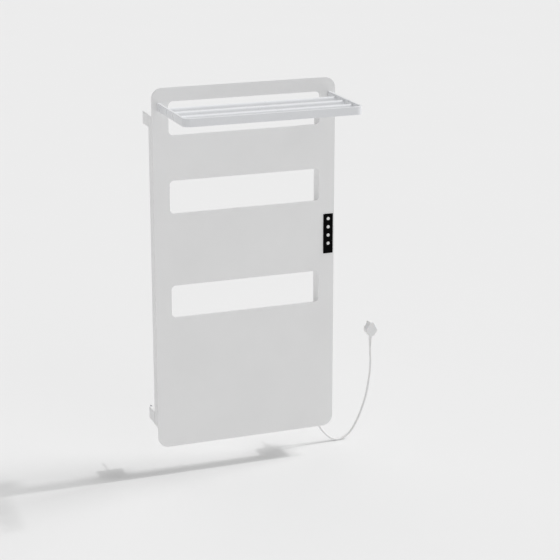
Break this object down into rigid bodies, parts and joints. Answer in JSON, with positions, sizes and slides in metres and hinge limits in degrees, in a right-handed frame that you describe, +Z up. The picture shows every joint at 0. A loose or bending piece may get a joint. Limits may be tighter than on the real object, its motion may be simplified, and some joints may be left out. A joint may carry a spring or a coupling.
{
  "type": "heated towel panel",
  "caption": "Wall-mounted electric towel warming panel: flat plate with slots for towels, rail shelf on top, push-button strip, and mains cord with flat plug.",
  "frame": {"origin": "on the wall, at the centre of the four wall fixings", "axes": "+Z up, the plate faces -Y, +Y into the wall, +X to the right as seen by a person facing the plate"},
  "size_m": [0.6799, 0.3745, 1.082],
  "materials": {
    "white_paint": "satin powder coat",
    "shelf_paint": "satin enamel",
    "zinc_steel": "bright zinc",
    "black_oxide_steel": "black oxide",
    "gloss_black": "high gloss",
    "white_plastic": "satin",
    "grey_plastic": "fine texture",
    "circuit_board": "solder resist",
    "black_plastic": "moulded",
    "green_plastic": "moulded",
    "plated_metal": "tin plate",
    "foil": "rolled foil",
    "silicone": "silicone sheath",
    "felt": "needled glass felt",
    "wire_sheath": "PVC sheath",
    "gland_nylon": "nylon",
    "cord_sheath": "white PVC",
    "pin_metal": "nickel plate"
  },
  "bodies": {
    "root": {"front_plate": "white_paint", "back_casing": "white_paint", "slot_liner_lower": "white_paint", "slot_liner_middle": "white_paint", "bracket_top_left": "white_paint", "bracket_top_right": "white_paint", "bracket_bottom_left": "white_paint", "bracket_bottom_right": "white_paint", "shelf_frame": "shelf_paint", "shelf_rail_1": "shelf_paint", "shelf_rail_2": "shelf_paint", "shelf_rail_3": "shelf_paint", "plate_studs": "zinc_steel", "spacer_posts": "zinc_steel", "post_screws": "zinc_steel", "wall_screws": "zinc_steel", "wall_plates": "zinc_steel", "shelf_screws": "zinc_steel", "shelf_backing_strips": "zinc_steel", "stud_nuts": "zinc_steel", "control_screws": "zinc_steel", "locking_screws": "black_oxide_steel", "control_fascia": "gloss_black", "control_housing": "grey_plastic", "control_cover": "grey_plastic", "power_box": "grey_plastic", "power_box_lid": "grey_plastic", "control_board": "circuit_board", "power_board": "circuit_board", "control_chips": "black_plastic", "key_switches": "black_plastic", "transformer": "black_plastic", "power_components": "black_plastic", "temperature_sensor": "black_plastic", "terminal_block": "green_plastic", "earth_tag": "plated_metal", "thermal_cutout": "plated_metal", "heat_spreader_upper": "foil", "heat_spreader_middle": "foil", "heat_spreader_lower": "foil", "heating_cable_upper": "silicone", "heating_cable_middle": "silicone", "heating_cable_lower": "silicone", "heater_leads": "silicone", "insulation_pad_upper": "felt", "insulation_pad_middle": "felt", "insulation_pad_lower": "felt", "mains_wires": "wire_sheath", "signal_cables": "wire_sheath", "cable_gland": "gland_nylon", "gland_nut": "gland_nylon", "power_cord": "cord_sheath", "cord_boot": "cord_sheath", "plug_sleeve": "cord_sheath", "plug_body": "cord_sheath", "plug_pins": "pin_metal"},
    "button_1": {"button_1": "white_plastic"},
    "button_2": {"button_2": "white_plastic"},
    "button_3": {"button_3": "white_plastic"},
    "button_4": {"button_4": "white_plastic"}
  },
  "joints": [
    {"name": "button_1_press", "type": "slide", "parent": "root", "child": "button_1", "axis": [0, 1, 0], "range_m": [0, 0.0008], "stiffness_N_per_m": 1500},
    {"name": "button_2_press", "type": "slide", "parent": "root", "child": "button_2", "axis": [0, 1, 0], "range_m": [0, 0.0008], "stiffness_N_per_m": 1500},
    {"name": "button_3_press", "type": "slide", "parent": "root", "child": "button_3", "axis": [0, 1, 0], "range_m": [0, 0.0008], "stiffness_N_per_m": 1500},
    {"name": "button_4_press", "type": "slide", "parent": "root", "child": "button_4", "axis": [0, 1, 0], "range_m": [0, 0.0008], "stiffness_N_per_m": 1500}
  ]
}
